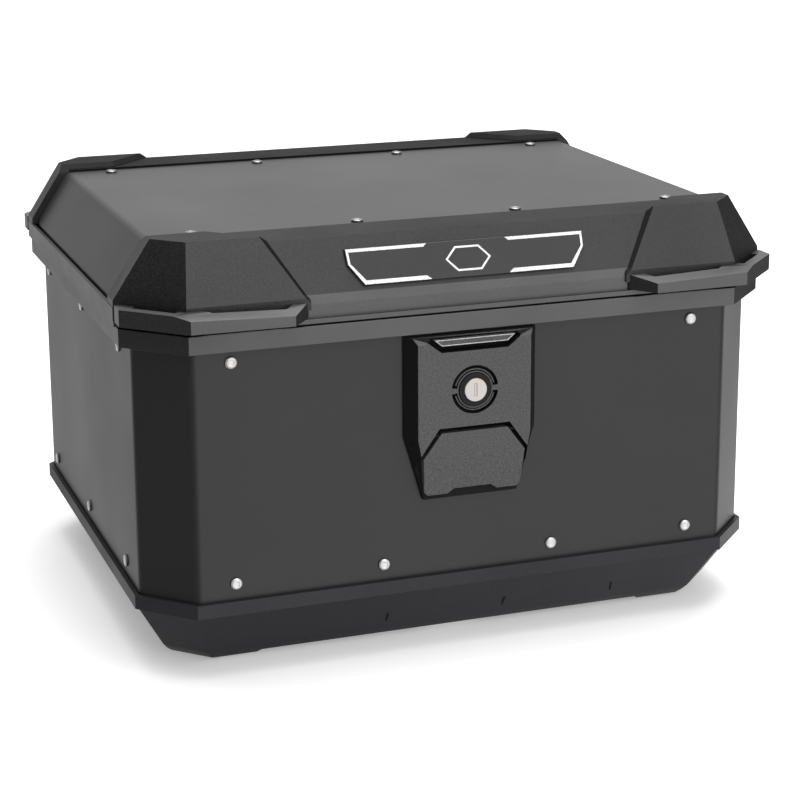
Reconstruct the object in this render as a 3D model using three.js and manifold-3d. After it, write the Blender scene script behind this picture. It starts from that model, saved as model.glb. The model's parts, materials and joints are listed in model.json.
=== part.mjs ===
// Motorcycle top case: an aluminium-skinned luggage box with a moulded base tray, a hinged lid,
// a front lock and a release for the rack that it sits on.
// Millimetres, +Z up, the lock faces -Y. The origin is under the centre of the case, at foot level.
import * as THREE from 'three';
import { mergeVertices } from 'three/addons/utils/BufferGeometryUtils.js';
import Module from 'manifold-3d';

const wasm = await Module();
wasm.setup();

// Driving dimensions

const WALL_HALF_X = 235;
const WALL_HALF_Y = 193;
const WALL_CHAMFER = 34;
const SHEET = 1.5;
const GAP = 0.3;

const TRAY_TOP = 56;
const TRAY_BAND = 9.5;
const TRAY_PROUD = 3.5;
const TRAY_SKIN = 3;
const FOOT_LIFT = 4;
const FOOT_INNER_X = 148;
const FLOOR_TOP = 18;

const RIM_BOTTOM = 237.3;
const RIM_TOP = 250.3;
const RIM_PROUD = 9;

const LID_BOTTOM = 251.6;
const LIP_TOP = 255;
const LEDGE_TOP = 271;
const LID_HALF_X = 247.5;
const LIP_HALF_Y = 201.2;
const LEDGE_HALF_Y = 198.5;
const BROW_HALF_Y = 178.6;
const BROW_Z = 306.7;
const LID_SKIN = 3;

const PANEL_Z = 305;
const PANEL_HALF_Y = 141;
const PANEL_FOLD_X = 217;
const PANEL_EDGE_X = 243.4;
const PANEL_EDGE_Z = 264.5;

const CAP_TOP = 310.4;
const LOOP_BOTTOM = 255.4;
const LOOP_TOP = 267.2;
const LOOP_REACH_Y = 218;

const LOCK_TOP = 234.4;
const LOCK_PROUD = 12;
const KEY_Z = 194.5;

const HINGE_X = 85;
const HINGE_Y = 207.5;
const HINGE_Z = 251;
const HINGE_HALF = 25;
const PIN_R = 2.4;
const KNUCKLE_R = 5;

const RIVET_R = 4.35;
const RIVET_HEAD = 2.2;
const SHANK_R = 2.2;

// Materials

function finish(color, roughness, metalness) {
  return new THREE.MeshStandardMaterial({ color, roughness, metalness });
}

const coatedAluminium = finish(0x4a4a4b, 0.5, 0.6);
const lidAluminium = finish(0x5a5a5b, 0.45, 0.6);
const mouldedPlastic = finish(0x2c2c2d, 0.6, 0);
const trayPlastic = finish(0x26262a, 0.7, 0);
const grainedPlastic = finish(0x303030, 0.75, 0);
const badgePlastic = finish(0x1d1d1e, 0.4, 0);
const sealRubber = finish(0x141414, 0.85, 0);
const plainSteel = finish(0xb8b8b6, 0.35, 1);
const rivetAluminium = finish(0xd9d7d4, 0.35, 1);

// Solid helpers

function toSolid(geometry) {
  const bare = geometry.clone();
  bare.deleteAttribute('normal');
  bare.deleteAttribute('uv');
  const merged = mergeVertices(bare, 1e-3);
  const mesh = new wasm.Mesh({
    numProp: 3,
    vertProperties: new Float32Array(merged.attributes.position.array),
    triVerts: new Uint32Array(merged.index.array),
  });
  return new wasm.Manifold(mesh);
}

function toGeometry(solid) {
  const mesh = solid.getMesh();
  const geometry = new THREE.BufferGeometry();
  geometry.setAttribute('position', new THREE.BufferAttribute(mesh.vertProperties, 3));
  geometry.setIndex(new THREE.BufferAttribute(mesh.triVerts, 1));
  geometry.computeVertexNormals();
  return geometry;
}

function joined(...solids) {
  return solids.reduce((whole, next) => whole.add(next));
}

function cut(solid, ...tools) {
  return tools.reduce((rest, tool) => rest.subtract(tool), solid);
}

function block(x0, x1, y0, y1, z0, z1) {
  const geometry = new THREE.BoxGeometry(x1 - x0, y1 - y0, z1 - z0);
  geometry.translate((x0 + x1) / 2, (y0 + y1) / 2, (z0 + z1) / 2);
  return toSolid(geometry);
}

function outline(points) {
  return new THREE.Shape(points.map(([a, b]) => new THREE.Vector2(a, b)));
}

// Prism with its outline in the XZ plane, between two Y values.
function prismY(points, y0, y1) {
  const shape = outline(points);
  const geometry = new THREE.ExtrudeGeometry(shape, { depth: y1 - y0, bevelEnabled: false });
  geometry.rotateX(Math.PI / 2);
  geometry.translate(0, y1, 0);
  return toSolid(geometry);
}

// Prism with its outline in the YZ plane, between two X values.
function prismX(points, x0, x1) {
  const shape = outline(points);
  const geometry = new THREE.ExtrudeGeometry(shape, { depth: x1 - x0, bevelEnabled: false });
  geometry.rotateX(Math.PI / 2);
  geometry.rotateZ(Math.PI / 2);
  geometry.translate(x0, 0, 0);
  return toSolid(geometry);
}

// Prism with its outline in the XY plane, between two Z values.
function prismZ(points, z0, z1) {
  const geometry = new THREE.ExtrudeGeometry(outline(points), { depth: z1 - z0, bevelEnabled: false });
  geometry.translate(0, 0, z0);
  return toSolid(geometry);
}

function rodAlong(axis, radius, from, to, centre, sides = 24) {
  const geometry = new THREE.CylinderGeometry(radius, radius, to - from, sides);
  if (axis === 'x') {
    geometry.rotateZ(Math.PI / 2);
    geometry.translate((from + to) / 2, centre[0], centre[1]);
  } else if (axis === 'y') {
    geometry.translate(centre[0], (from + to) / 2, centre[1]);
  } else {
    geometry.rotateX(Math.PI / 2);
    geometry.translate(centre[0], centre[1], (from + to) / 2);
  }
  return toSolid(geometry);
}

// The eight corners of a rectangle with chamfered corners.
function octagon(halfX, halfY, chamfer) {
  const quarter = [[halfX - chamfer, -halfY], [halfX, chamfer - halfY]];
  const half = [...quarter, ...quarter.map(([x, y]) => [x, -y]).reverse()];
  return [...half, ...half.map(([x, y]) => [-x, y]).reverse()];
}

// Closed body through a stack of outlines with the same number of corners.
// Each level is { z, points }; outlines run anticlockwise seen from above.
function loft(levels) {
  const count = levels[0].points.length;
  const positions = levels.flatMap(({ z, points }) => points.flatMap(([x, y]) => [x, y, z]));
  const index = [];
  for (let level = 0; level < levels.length - 1; level += 1) {
    for (let i = 0; i < count; i += 1) {
      const a = level * count + i;
      const b = level * count + ((i + 1) % count);
      index.push(a, b, b + count, a, b + count, a + count);
    }
  }
  const last = (levels.length - 1) * count;
  for (let i = 1; i < count - 1; i += 1) {
    index.push(0, i + 1, i);
    index.push(last, last + i, last + i + 1);
  }
  const geometry = new THREE.BufferGeometry();
  geometry.setAttribute('position', new THREE.Float32BufferAttribute(positions, 3));
  geometry.setIndex(index);
  return toSolid(geometry);
}

function octagonLevel(z, halfX, halfY, chamfer) {
  return { z, points: octagon(halfX, halfY, chamfer) };
}

function octagonPrism(z0, z1, halfX, halfY, chamfer) {
  return loft([octagonLevel(z0, halfX, halfY, chamfer), octagonLevel(z1, halfX, halfY, chamfer)]);
}

// A chamfer length that keeps an outline parallel to the wall's when it moves out by a distance.
function chamferAt(proud) {
  return WALL_CHAMFER + proud * (2 - Math.SQRT2);
}

function wallRing(z0, z1, proud, thickness) {
  const outer = [WALL_HALF_X + proud, WALL_HALF_Y + proud, chamferAt(proud)];
  const inset = proud - thickness;
  const inner = [WALL_HALF_X + inset, WALL_HALF_Y + inset, chamferAt(inset)];
  return cut(octagonPrism(z0, z1, ...outer), octagonPrism(z0 - 1, z1 + 1, ...inner));
}

const topCase = new THREE.Group();
topCase.name = 'top_case';

function addPiece(name, solid, material) {
  const mesh = new THREE.Mesh(toGeometry(solid), material);
  mesh.name = name;
  topCase.add(mesh);
  return mesh;
}

// Rivets: a domed head on a short shank that runs through the sheet into the moulding behind it.

const RIVET_SIDES = 10;
const SHANK_LENGTH = 3.2;
const HOLE_R = 2.6;
const FRONT_RIVET_X = [-173.7, -64.6, 64.6, 173.7];
const SIDE_RIVET_Y = [-121, 6.7, 134];
const LID_RIVET_X = [-183, -61, 61, 183];
const LID_RIVET_Y = 129.3;
const LOW_RIVET_Z = 68.2;
const HIGH_RIVET_Z = 227.8;

function rivetGeometry() {
  const profile = [
    [0, -SHANK_LENGTH],
    [SHANK_R, -SHANK_LENGTH],
    [SHANK_R, 0.05],
    [RIVET_R, 0.05],
    [RIVET_R, 0.45 * RIVET_HEAD],
    [0.62 * RIVET_R, 0.92 * RIVET_HEAD],
    [0, RIVET_HEAD],
  ];
  return new THREE.LatheGeometry(profile.map(([r, h]) => new THREE.Vector2(r, h)), RIVET_SIDES);
}

function wallRivetPlaces() {
  const front = FRONT_RIVET_X.map((x) => ({ at: [x, -WALL_HALF_Y, LOW_RIVET_Z], out: [0, -1, 0] }));
  const frontTop = [FRONT_RIVET_X[0], FRONT_RIVET_X[3]].map((x) => (
    { at: [x, -WALL_HALF_Y, HIGH_RIVET_Z], out: [0, -1, 0] }
  ));
  const sides = [-1, 1].flatMap((side) => [LOW_RIVET_Z, HIGH_RIVET_Z].flatMap((z) => (
    SIDE_RIVET_Y.map((y) => ({ at: [side * WALL_HALF_X, y, z], out: [side, 0, 0] }))
  )));
  return [...front, ...frontTop, ...sides];
}

function lidRivetPlaces() {
  return [-1, 1].flatMap((side) => LID_RIVET_X.map((x) => (
    { at: [x, side * LID_RIVET_Y, PANEL_Z], out: [0, 0, 1] }
  )));
}

function rivetHole({ at, out }) {
  const [x, y, z] = at;
  const depth = 8;
  if (out[0] !== 0) {
    return rodAlong('x', HOLE_R, x - depth, x + depth, [y, z], RIVET_SIDES);
  }
  if (out[1] !== 0) {
    return rodAlong('y', HOLE_R, y - depth, y + depth, [x, z], RIVET_SIDES);
  }
  return rodAlong('z', HOLE_R, z - depth, z + depth, [x, y], RIVET_SIDES);
}

function addRivets(places, prefix) {
  const geometry = rivetGeometry();
  places.forEach(({ at, out }, i) => {
    const mesh = new THREE.Mesh(geometry, rivetAluminium);
    mesh.name = `${prefix}_${i + 1}`;
    mesh.position.set(...at);
    mesh.quaternion.setFromUnitVectors(new THREE.Vector3(0, 1, 0), new THREE.Vector3(...out));
    topCase.add(mesh);
  });
}

const wallHoles = wallRivetPlaces().map(rivetHole);
const lidHoles = lidRivetPlaces().map(rivetHole);

// Case body

const SKIRT = 3;
const TRAY_SKIRT_TOP = 78;
const SHEET_BOTTOM = 48;
const SHEET_TOP = 247;
const RIM_SKIRT_BOTTOM = 219;
const FOOT_HALF_X = 212;
const FOOT_HALF_Y = 165.5;
const FOOT_CHAMFER = 26;
const SIDE_FOOT_INNER_Y = 96;
const RECESS_HALF_X = FOOT_INNER_X + 20;
const RECESS_HALF_Y = FOOT_HALF_Y - 30;
const RECESS_CHAMFER = 50;

function sheetChannel(z0, z1) {
  return wallRing(z0, z1, GAP, SHEET + 2 * GAP);
}

function footGap(halfWidth, across) {
  const outlinePoints = [
    [-halfWidth - 6, -1],
    [halfWidth + 6, -1],
    [halfWidth, FOOT_LIFT],
    [-halfWidth, FOOT_LIFT],
  ];
  return across === 'y' ? prismY(outlinePoints, -220, 220) : prismX(outlinePoints, -250, 250);
}

function baseTray() {
  const bandFoot = TRAY_TOP - TRAY_BAND;
  const proud = TRAY_PROUD;
  const neck = 1.5;
  const body = loft([
    octagonLevel(0, FOOT_HALF_X - 9, FOOT_HALF_Y - 9, FOOT_CHAMFER - 3),
    octagonLevel(1.5, FOOT_HALF_X - 4, FOOT_HALF_Y - 4, FOOT_CHAMFER - 2),
    octagonLevel(5, FOOT_HALF_X, FOOT_HALF_Y, FOOT_CHAMFER - 1),
    octagonLevel(10, FOOT_HALF_X + 3.8, FOOT_HALF_Y + 4.6, FOOT_CHAMFER),
    octagonLevel(bandFoot, WALL_HALF_X + neck, WALL_HALF_Y + neck, chamferAt(neck)),
  ]);
  const band = octagonPrism(
    bandFoot - 0.5,
    TRAY_TOP,
    WALL_HALF_X + proud,
    WALL_HALF_Y + proud,
    chamferAt(proud),
  );
  const skirt = wallRing(bandFoot - 2, TRAY_SKIRT_TOP, -SHEET - GAP, SKIRT);
  const shell = joined(body, band, skirt);
  const wallInset = -SHEET - GAP - SKIRT;
  const hollow = loft([
    octagonLevel(FLOOR_TOP, FOOT_HALF_X + 5, FOOT_HALF_Y + 7, FOOT_CHAMFER),
    octagonLevel(bandFoot, WALL_HALF_X + wallInset, WALL_HALF_Y + wallInset, chamferAt(wallInset)),
    octagonLevel(120, WALL_HALF_X + wallInset, WALL_HALF_Y + wallInset, chamferAt(wallInset)),
  ]);
  const ceiling = FLOOR_TOP - TRAY_SKIN;
  const recess = octagonPrism(-1, ceiling, RECESS_HALF_X, RECESS_HALF_Y, RECESS_CHAMFER);
  const tongues = [-1, 1].map((side) => (
    block(side * 60 - 15, side * 60 + 15, RECESS_HALF_Y - 6, RECESS_HALF_Y + 1, CATCH_BOTTOM, CATCH_TOP)
  ));
  return cut(
    joined(cut(shell, hollow, recess), ...tongues),
    sheetChannel(SHEET_BOTTOM - GAP, TRAY_SKIRT_TOP + 2),
    footGap(FOOT_INNER_X, 'y'),
    footGap(SIDE_FOOT_INNER_Y, 'x'),
    ...wallHoles,
    ...rackCatchWay(),
  );
}

function wallShell() {
  const ring = wallRing(SHEET_BOTTOM, SHEET_TOP, 0, SHEET);
  const seam = block(-0.25, 0.25, WALL_HALF_Y - 5, WALL_HALF_Y + 5, SHEET_BOTTOM - 1, SHEET_TOP + 1);
  return cut(ring, seam, ...wallHoles, ...lockWays());
}

function seamStrip() {
  const inner = WALL_HALF_Y - SHEET - 0.1;
  return block(-18, 18, inner - 1.5, inner, TRAY_SKIRT_TOP + 1, RIM_SKIRT_BOTTOM - 1);
}

function bodyRim() {
  const head = wallRing(RIM_BOTTOM, RIM_TOP, RIM_PROUD, RIM_PROUD + SHEET + GAP + SKIRT);
  const skirt = wallRing(RIM_SKIRT_BOTTOM, RIM_BOTTOM + 2, -SHEET - GAP, SKIRT);
  return cut(
    joined(head, skirt),
    sheetChannel(RIM_SKIRT_BOTTOM - 2, SHEET_TOP + GAP),
    ...wallHoles,
    ...lockWays(),
  );
}

// Lock, latch flap and rack release

const FACE_Y = -WALL_HALF_Y - LOCK_PROUD;
const LOCK_HALF_X = 50;
const FACE_HALF_X = 42.5;
const SHOULDER_Z = 161;
const LOCK_BOTTOM = 114;
const LOCK_BOTTOM_HALF_X = 36;
const FLAP_TOP = 164.5;
const FLAP_BOTTOM = 118;
const FLAP_TOP_HALF_X = 25;
const FLAP_SHOULDER_Z = 146.5;
const FLAP_HALF_X = 38.5;
const FLAP_BACK_Y = -197.5;
const FLAP_PIVOT_Y = -202.8;
const FLAP_PIVOT_Z = 162.4;
const FLAP_PIN_R = 1.2;
const BARREL_R = 8.4;
const COLLAR_R = 12.2;
const GUARD_R = 17.5;
const STEM_HALF_X = 6;
const STEM_Z = 230.2;
const STEM_HALF_Z = 2.2;
const ROD_Y = -154;
const ROD_HALF = 2.5;
const ROD_HALF_Y = 1.5;
const CATCH_BOTTOM = 4.6;
const CATCH_TOP = 8.8;
const CATCH_HALF_X = 22;
const CATCH_TIP_Y = -130;

// Passages for the lock cylinder and the button's stem through the wall and the rim behind it.
function lockWays() {
  return [
    rodAlong('y', COLLAR_R + GAP, -WALL_HALF_Y - 6, -WALL_HALF_Y + 12, [0, KEY_Z]),
    block(
      -STEM_HALF_X - GAP,
      STEM_HALF_X + GAP,
      -WALL_HALF_Y - 6,
      -WALL_HALF_Y + 12,
      STEM_Z - STEM_HALF_Z - GAP,
      STEM_Z + STEM_HALF_Z + GAP,
    ),
  ];
}

// The flap's outline, with a stepped finger notch in its lower edge.
function flapOutline() {
  const right = [
    [14, FLAP_BOTTOM + 3.5],
    [19, FLAP_BOTTOM],
    [34, FLAP_BOTTOM],
    [36.5, FLAP_BOTTOM + 2.5],
    [FLAP_HALF_X, FLAP_SHOULDER_Z],
    [FLAP_TOP_HALF_X, FLAP_TOP],
  ];
  return [...right, ...right.map(([x, z]) => [-x, z]).reverse()];
}

function flapPocketOutline() {
  const clear = 3.4;
  return [
    [FLAP_TOP_HALF_X + clear * 0.5, FLAP_TOP + clear],
    [-FLAP_TOP_HALF_X - clear * 0.5, FLAP_TOP + clear],
    [-FLAP_HALF_X - clear, FLAP_SHOULDER_Z],
    [-FLAP_HALF_X - clear, LOCK_BOTTOM - 1],
    [FLAP_HALF_X + clear, LOCK_BOTTOM - 1],
    [FLAP_HALF_X + clear, FLAP_SHOULDER_Z],
  ];
}

// Slope of the lock's face: upright above the flap's shoulder, drawing in below it.
function faceProfile(back) {
  return [
    [back, LOCK_TOP],
    [back, LOCK_BOTTOM],
    [FACE_Y + 5.5, LOCK_BOTTOM],
    [FACE_Y, FLAP_SHOULDER_Z + 3],
    [FACE_Y, LOCK_TOP - 4.4],
    [FACE_Y + 4, LOCK_TOP],
  ];
}

// Level section of the lock housing: straight at the wall, bevelled in to the face.
function lockLevel(z, baseHalfX, faceHalfX) {
  const behind = -WALL_HALF_Y - 0.1;
  const bevelStart = -WALL_HALF_Y - 1.5;
  return {
    z,
    points: [
      [-baseHalfX, behind],
      [-baseHalfX, bevelStart],
      [-faceHalfX, FACE_Y - 0.1],
      [faceHalfX, FACE_Y - 0.1],
      [baseHalfX, bevelStart],
      [baseHalfX, behind],
    ],
  };
}

function lockBlock() {
  return loft([
    lockLevel(LOCK_BOTTOM, LOCK_BOTTOM_HALF_X, LOCK_BOTTOM_HALF_X - 2),
    lockLevel(FLAP_SHOULDER_Z, 45.6, FLAP_HALF_X + 1.2),
    lockLevel(SHOULDER_Z, LOCK_HALF_X, FACE_HALF_X),
    lockLevel(LOCK_TOP, LOCK_HALF_X, FACE_HALF_X),
  ]);
}

function arcTrench(side) {
  const half = Math.PI / 2 - 0.13;
  const shape = new THREE.Shape();
  shape.absarc(0, 0, GUARD_R, -half, half, false);
  shape.absarc(0, 0, COLLAR_R + 1.4, half, -half, true);
  const geometry = new THREE.ExtrudeGeometry(shape, { depth: 8, bevelEnabled: false, curveSegments: 12 });
  geometry.rotateZ(side * Math.PI / 2);
  geometry.rotateX(Math.PI / 2);
  geometry.translate(0, FACE_Y + 4, KEY_Z);
  return toSolid(geometry);
}

const BUTTON_OUTLINE = [
  [-25, 227.7],
  [25, 227.7],
  [30.8, 232.7],
  [-30.8, 232.7],
];
const BUTTON_RECESS = [
  [-25, 223.2],
  [25, 223.2],
  [35.2, 231],
  [31.8, 233.4],
  [-31.8, 233.4],
  [-35.2, 231],
];

function lockHousing() {
  const wall = -WALL_HALF_Y - 0.1;
  const shell = lockBlock().intersect(prismX(faceProfile(wall), -60, 60));
  const recess = prismY(BUTTON_RECESS, FACE_Y - 2, FACE_Y + 8);
  const pocket = prismY(flapPocketOutline(), FACE_Y - 4, FLAP_BACK_Y + 1);
  const pinHole = rodAlong('x', FLAP_PIN_R + 0.15, -36.3, 36.3, [FLAP_PIVOT_Y, FLAP_PIVOT_Z], 16);
  const keyWay = rodAlong('y', COLLAR_R + GAP, FACE_Y - 2, wall + 2, [0, KEY_Z]);
  return cut(shell, recess, pocket, pinHole, keyWay, arcTrench(1), arcTrench(-1), ...lockWays());
}

function lockCylinder() {
  const collar = rodAlong('y', COLLAR_R, FACE_Y - 0.8, -WALL_HALF_Y + 16, [0, KEY_Z]);
  return cut(collar, rodAlong('y', BARREL_R + 0.12, FACE_Y - 2, -WALL_HALF_Y + 17, [0, KEY_Z], 32));
}

function lockBarrel() {
  const barrel = rodAlong('y', BARREL_R, FACE_Y - 1.8, -WALL_HALF_Y + 17.5, [0, KEY_Z], 32);
  const keySlot = block(-0.9, 0.9, FACE_Y - 3, FACE_Y + 10, KEY_Z - 4.6, KEY_Z + 4.6);
  return cut(barrel, keySlot);
}

// Cam on the barrel's inner end, with a crank pin that drives the latch hook.
function lockCam() {
  const back = -WALL_HALF_Y + 17.8;
  return joined(
    rodAlong('y', 8, back, back + 2.5, [0, KEY_Z], 20),
    prismY([[-4, KEY_Z - 15], [4, KEY_Z - 15], [6, KEY_Z], [-6, KEY_Z]], back, back + 2.5),
  );
}

function latchFlap() {
  const plate = prismY(flapOutline(), FACE_Y - 2, FLAP_BACK_Y)
    .intersect(prismX(faceProfile(FLAP_BACK_Y), -60, 60));
  return cut(plate, rodAlong('x', FLAP_PIN_R + 0.15, -60, 60, [FLAP_PIVOT_Y, FLAP_PIVOT_Z], 16));
}

function flapPin() {
  return rodAlong('x', FLAP_PIN_R, -36, 36, [FLAP_PIVOT_Y, FLAP_PIVOT_Z], 16);
}

// Wedge angles at both ends of the rod are 45 degrees, so each piece travels as far as the one before.
const WEDGE = 5;

function releaseButton() {
  const cap = prismY(BUTTON_OUTLINE, FACE_Y + 0.2, FACE_Y + 3.7);
  const low = STEM_Z - STEM_HALF_Z;
  const high = STEM_Z + STEM_HALF_Z;
  const stem = prismX([
    [FACE_Y + 3, low],
    [ROD_Y - WEDGE / 2 - 0.5, low],
    [ROD_Y + WEDGE / 2 - 0.5, high],
    [FACE_Y + 3, high],
  ], -STEM_HALF_X, STEM_HALF_X);
  return joined(cap, stem);
}

// Flat vertical rod that carries the button's push down to the catch under the floor.
function releaseRod() {
  const top = STEM_Z - 0.3;
  const bottom = CATCH_TOP + 2.5;
  return prismX([
    [ROD_Y - ROD_HALF_Y, bottom + ROD_HALF_Y],
    [ROD_Y + ROD_HALF_Y, bottom - ROD_HALF_Y],
    [ROD_Y + ROD_HALF_Y, top + ROD_HALF_Y],
    [ROD_Y - ROD_HALF_Y, top - ROD_HALF_Y],
  ], -ROD_HALF, ROD_HALF);
}

// Sliding plate under the floor: a bevelled window for the rod and a tongue that holds the rack.
function rackCatch() {
  const front = ROD_Y - 4;
  const plate = prismX([
    [front, CATCH_BOTTOM],
    [CATCH_TIP_Y - 4, CATCH_BOTTOM],
    [CATCH_TIP_Y, CATCH_BOTTOM + 1.5],
    [CATCH_TIP_Y, CATCH_TOP],
    [front, CATCH_TOP],
  ], -CATCH_HALF_X, CATCH_HALF_X);
  const thick = CATCH_TOP - CATCH_BOTTOM;
  const window = prismX([
    [ROD_Y + 2.1, CATCH_TOP + 1],
    [ROD_Y + 2.1, CATCH_TOP],
    [ROD_Y + 2.1 + thick, CATCH_BOTTOM],
    [ROD_Y + 2.1 + thick, CATCH_BOTTOM - 1],
    [ROD_Y + 10, CATCH_BOTTOM - 1],
    [ROD_Y + 10, CATCH_TOP + 1],
  ], -ROD_HALF - 1, ROD_HALF + 1);
  return cut(plate, window);
}

// Rod passage through the floor and the catch's slideway in the underside.
function rackCatchWay() {
  return [
    block(-ROD_HALF - 1, ROD_HALF + 1, ROD_Y - 3, ROD_Y + 3, -5, FLOOR_TOP + 5),
    block(-CATCH_HALF_X - 1, CATCH_HALF_X + 1, ROD_Y - 9, 1 - RECESS_HALF_Y, -5, CATCH_TOP + 0.5),
  ];
}

// Plastic box over the lock's inner end, with a duct for the rod down to the floor.
function innerLockCover() {
  const skin = 2.5;
  const halfX = 46;
  const inside = -166;
  const foot = 96;
  const top = RIM_SKIRT_BOTTOM - 1;
  const ductHalfX = 10;
  const ductTop = 236;
  const ductInside = -143.5;
  const main = block(-halfX, halfX, -WALL_HALF_Y + 5.1, inside, foot, top);
  const duct = block(-ductHalfX, ductHalfX, inside - 5, ductInside, FLOOR_TOP + 0.4, ductTop);
  const mainRoom = block(skin - halfX, halfX - skin, -200, inside - skin, foot + skin, top - skin);
  const roomHalfX = ductHalfX - skin;
  const ductRoom = block(-roomHalfX, roomHalfX, inside - 5 + skin, ductInside - skin, 10, ductTop - skin);
  const stemDoor = block(-roomHalfX, roomHalfX, -180, inside + 6, 222, ductTop - skin);
  const hookDoor = block(-18, 18, -190, -176, 210, 225);
  return cut(joined(main, duct), mainRoom, ductRoom, stemDoor, hookDoor);
}

const HOOK_Y = -183.1;
const HOOK_TOP = 264;

// Upright hook behind the rim: its nose slides over the lid's striker when the key turns.
function latchHook() {
  const plate = prismX([
    [HOOK_Y - 1.5, 210],
    [HOOK_Y + 1.5, 210],
    [HOOK_Y + 1.5, HOOK_TOP],
    [HOOK_Y - 5.3, HOOK_TOP - 1],
    [HOOK_Y - 5.3, HOOK_TOP - 3.4],
    [HOOK_Y - 1.5, HOOK_TOP - 3.4],
  ], -16, 16);
  return cut(plate, block(-9, 9, HOOK_Y - 8, HOOK_Y + 8, 221, 234));
}

// Lid

const SEAL_TOP = 254.7;
const DOME_INSET = 2.2;
const LEDGE_CHAMFER = 39;
const LEDGE_TOP_CHAMFER = 37;
const BROW_CHAMFER = 22;
const LEDGE_LEAN = 1.5;
const PANEL_BEND = 5;
const FRAME_INNER_HALF_X = LID_HALF_X - 8;
const SLOPE_RUN = PANEL_EDGE_X - PANEL_FOLD_X;
const SLOPE_DROP = PANEL_Z - PANEL_EDGE_Z;

// Half width of the sloping sides at a height, set in by a distance measured level.
function slopeX(z, inset) {
  return PANEL_FOLD_X + ((PANEL_Z - z) * SLOPE_RUN) / SLOPE_DROP - inset;
}

function domeOuter() {
  const ledgeHalfX = slopeX(PANEL_EDGE_Z, DOME_INSET);
  return loft([
    octagonLevel(LID_BOTTOM, ledgeHalfX, LEDGE_HALF_Y, LEDGE_CHAMFER),
    octagonLevel(PANEL_EDGE_Z, ledgeHalfX, LEDGE_HALF_Y, LEDGE_CHAMFER),
    octagonLevel(LEDGE_TOP, slopeX(LEDGE_TOP, DOME_INSET), LEDGE_HALF_Y - LEDGE_LEAN, LEDGE_TOP_CHAMFER),
    octagonLevel(BROW_Z, slopeX(BROW_Z, DOME_INSET), BROW_HALF_Y, BROW_CHAMFER),
  ]);
}

function domeInner() {
  const inset = DOME_INSET + LID_SKIN;
  const halfY = LEDGE_HALF_Y - LID_SKIN;
  const ceiling = PANEL_Z - SHEET - GAP - LID_SKIN;
  return loft([
    octagonLevel(LID_BOTTOM - 1, slopeX(PANEL_EDGE_Z, inset), halfY, LEDGE_CHAMFER - 1),
    octagonLevel(PANEL_EDGE_Z, slopeX(PANEL_EDGE_Z, inset), halfY, LEDGE_CHAMFER - 1),
    octagonLevel(LEDGE_TOP, slopeX(LEDGE_TOP, inset), halfY - LEDGE_LEAN, LEDGE_TOP_CHAMFER - 1),
    octagonLevel(ceiling, slopeX(ceiling, inset), BROW_HALF_Y - LID_SKIN + 2, BROW_CHAMFER),
  ]);
}

// Half width of the inner face of a sheet on the sloping sides, at a height.
function innerSlopeX(z, thickness) {
  return slopeX(z, thickness * 1.18);
}

// Outline of the bent panel in the XZ plane, its folds cut off by small flats.
function panelOutline() {
  const foot = PANEL_EDGE_Z + LEDGE_LEAN;
  const foldStart = PANEL_Z - PANEL_BEND;
  const right = [
    [innerSlopeX(foot, SHEET), foot],
    [slopeX(foot, 0), foot],
    [slopeX(foldStart, 0), foldStart],
    [PANEL_FOLD_X - 0.4, PANEL_Z - 1.6],
    [PANEL_FOLD_X - PANEL_BEND, PANEL_Z],
  ];
  const left = right.map(([x, z]) => [-x, z]).reverse();
  const innerFold = [innerSlopeX(foldStart - 1, SHEET) - 0.6, foldStart - 1];
  const innerTop = [PANEL_FOLD_X - PANEL_BEND, PANEL_Z - SHEET];
  return [
    ...right,
    ...left,
    [-innerFold[0], innerFold[1]],
    [-innerTop[0], innerTop[1]],
    innerTop,
    innerFold,
  ];
}

function lidPanel() {
  return cut(prismY(panelOutline(), -PANEL_HALF_Y, PANEL_HALF_Y), ...lidHoles);
}

// Room above the frame for the panel: everything outside the panel's inner face.
function panelRoom() {
  const depth = SHEET + GAP;
  const outside = 300;
  const foldStart = PANEL_Z - PANEL_BEND - 1;
  const right = [
    [PANEL_FOLD_X - PANEL_BEND, PANEL_Z - depth],
    [innerSlopeX(foldStart, depth) - 0.6, foldStart],
    [innerSlopeX(PANEL_EDGE_Z, depth), PANEL_EDGE_Z - 2],
    [outside, PANEL_EDGE_Z - 2],
    [outside, BROW_Z + 10],
  ];
  const left = right.map(([x, z]) => [-x, z]).reverse();
  return prismY([...right, ...left], -PANEL_HALF_Y - 2 * GAP, PANEL_HALF_Y + 2 * GAP);
}

function lidFrame() {
  const innerHalfY = LEDGE_HALF_Y - LID_SKIN;
  const lip = cut(
    octagonPrism(LID_BOTTOM, LIP_TOP, LID_HALF_X - 1, LIP_HALF_Y, 40.5),
    octagonPrism(LID_BOTTOM - 1, LIP_TOP + 1, FRAME_INNER_HALF_X, innerHalfY, LEDGE_CHAMFER - 1),
  );
  const sideRim = cut(
    octagonPrism(LID_BOTTOM + 1, PANEL_EDGE_Z, LID_HALF_X - 1, LEDGE_HALF_Y, LEDGE_CHAMFER + 0.5),
    octagonPrism(LIP_TOP, PANEL_EDGE_Z + 1, LID_HALF_X - 3.4, LEDGE_HALF_Y - 1, LEDGE_CHAMFER),
    octagonPrism(LID_BOTTOM, LIP_TOP + 1, FRAME_INNER_HALF_X, innerHalfY, LEDGE_CHAMFER - 1),
  );
  const dome = cut(cut(domeOuter(), panelRoom()), domeInner());
  const window = octagonPrism(PANEL_Z - 10, BROW_Z + 5, 196, 118, 12);
  const flange = cut(
    octagonPrism(SEAL_TOP, SEAL_TOP + LID_SKIN, LID_HALF_X - 6, LEDGE_HALF_Y - 1, LEDGE_CHAMFER),
    octagonPrism(SEAL_TOP - 1, SEAL_TOP + LID_SKIN + 1, 231.5, 189.2, 34),
  );
  return cut(joined(lip, sideRim, dome, flange), window, ...lidHoles);
}

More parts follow.
